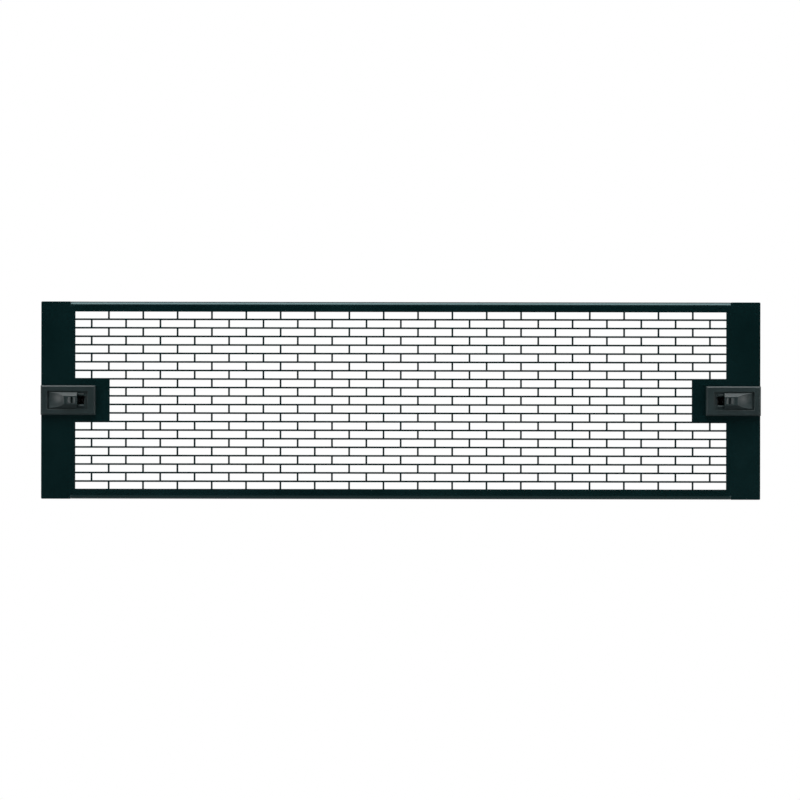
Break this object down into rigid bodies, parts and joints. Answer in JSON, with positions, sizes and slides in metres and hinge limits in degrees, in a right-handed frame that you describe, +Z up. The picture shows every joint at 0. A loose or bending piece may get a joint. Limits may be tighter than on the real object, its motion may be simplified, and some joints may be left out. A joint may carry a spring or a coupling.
{
  "type": "vented rack blanking panel",
  "caption": "Flat black rack filler panel with a brick-pattern vent grille, folded top and bottom flanges, and a spring-loaded thumb latch at each end that hooks behind the rail.",
  "frame": {"origin": "middle of the panel's length and height, on the rail plane, which is the rear face of its two ears", "axes": "+X along the panel's length to the right of someone facing the rack, +Y into the rack, +Z up"},
  "size_m": [0.4826, 0.0201, 0.1324],
  "materials": {
    "black_powder_coat": "satin powder coat",
    "black_moulding": "fine matte texture",
    "spring_wire": "drawn wire",
    "screw_steel": "zinc plated"
  },
  "bodies": {
    "panel": {"vent_panel": "black_powder_coat", "left_latch_housing": "black_moulding", "left_latch_spring": "spring_wire", "left_latch_cover": "black_moulding", "left_latch_screws": "screw_steel", "right_latch_housing": "black_moulding", "right_latch_spring": "spring_wire", "right_latch_cover": "black_moulding", "right_latch_screws": "screw_steel"},
    "left_latch": {"left_latch_slider": "black_moulding"},
    "right_latch": {"right_latch_slider": "black_moulding"}
  },
  "joints": [
    {"name": "left_latch_release", "type": "slide", "parent": "panel", "child": "left_latch", "axis": [1, 0, 0], "range_m": [0, 0.0045], "stiffness_N_per_m": 500, "springref_m": -0.0035, "deforming": ["left_latch_spring"]},
    {"name": "right_latch_release", "type": "slide", "parent": "panel", "child": "right_latch", "axis": [-1, 0, 0], "range_m": [0, 0.0045], "stiffness_N_per_m": 500, "springref_m": -0.0035, "deforming": ["right_latch_spring"]}
  ]
}
